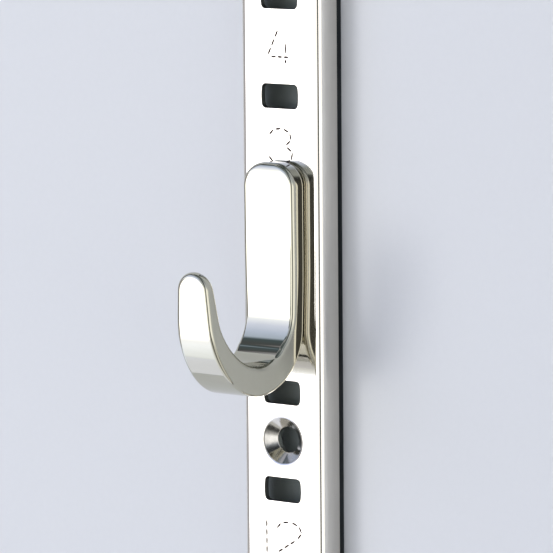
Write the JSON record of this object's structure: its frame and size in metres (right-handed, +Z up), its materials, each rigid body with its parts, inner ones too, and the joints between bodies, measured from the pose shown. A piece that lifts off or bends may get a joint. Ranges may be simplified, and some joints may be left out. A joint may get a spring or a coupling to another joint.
{
  "type": "wall hook rack",
  "caption": "Slotted stainless channel rail for a wall, with a polished J-shaped hook that lifts out of its slots.",
  "frame": {"origin": "on the axis of the lower screw hole, in the plane of the wall", "axes": "+Z up along the rail, -Y out of the wall towards the room, +X to the right seen from the room's side"},
  "size_m": [0.02, 0.0359, 0.34],
  "materials": {
    "polished_rail": "mirror-polished stainless steel sheet",
    "polished_hook": "mirror-polished solid stainless steel",
    "claw_steel": "plain rolled stainless strip, tumbled",
    "screw_steel": "turned stainless screw, unpolished"
  },
  "bodies": {
    "rail": {"rail_channel": "polished_rail"},
    "hook": {"hook_body": "polished_hook", "claw_plate": "claw_steel", "claw_screw_lower": "screw_steel", "claw_screw_upper": "screw_steel"}
  },
  "joints": [
    {"name": "hook_lift", "type": "slide", "parent": "rail", "child": "hook", "axis": [0, 0, 1], "range_m": [0, 0.0027]}
  ]
}
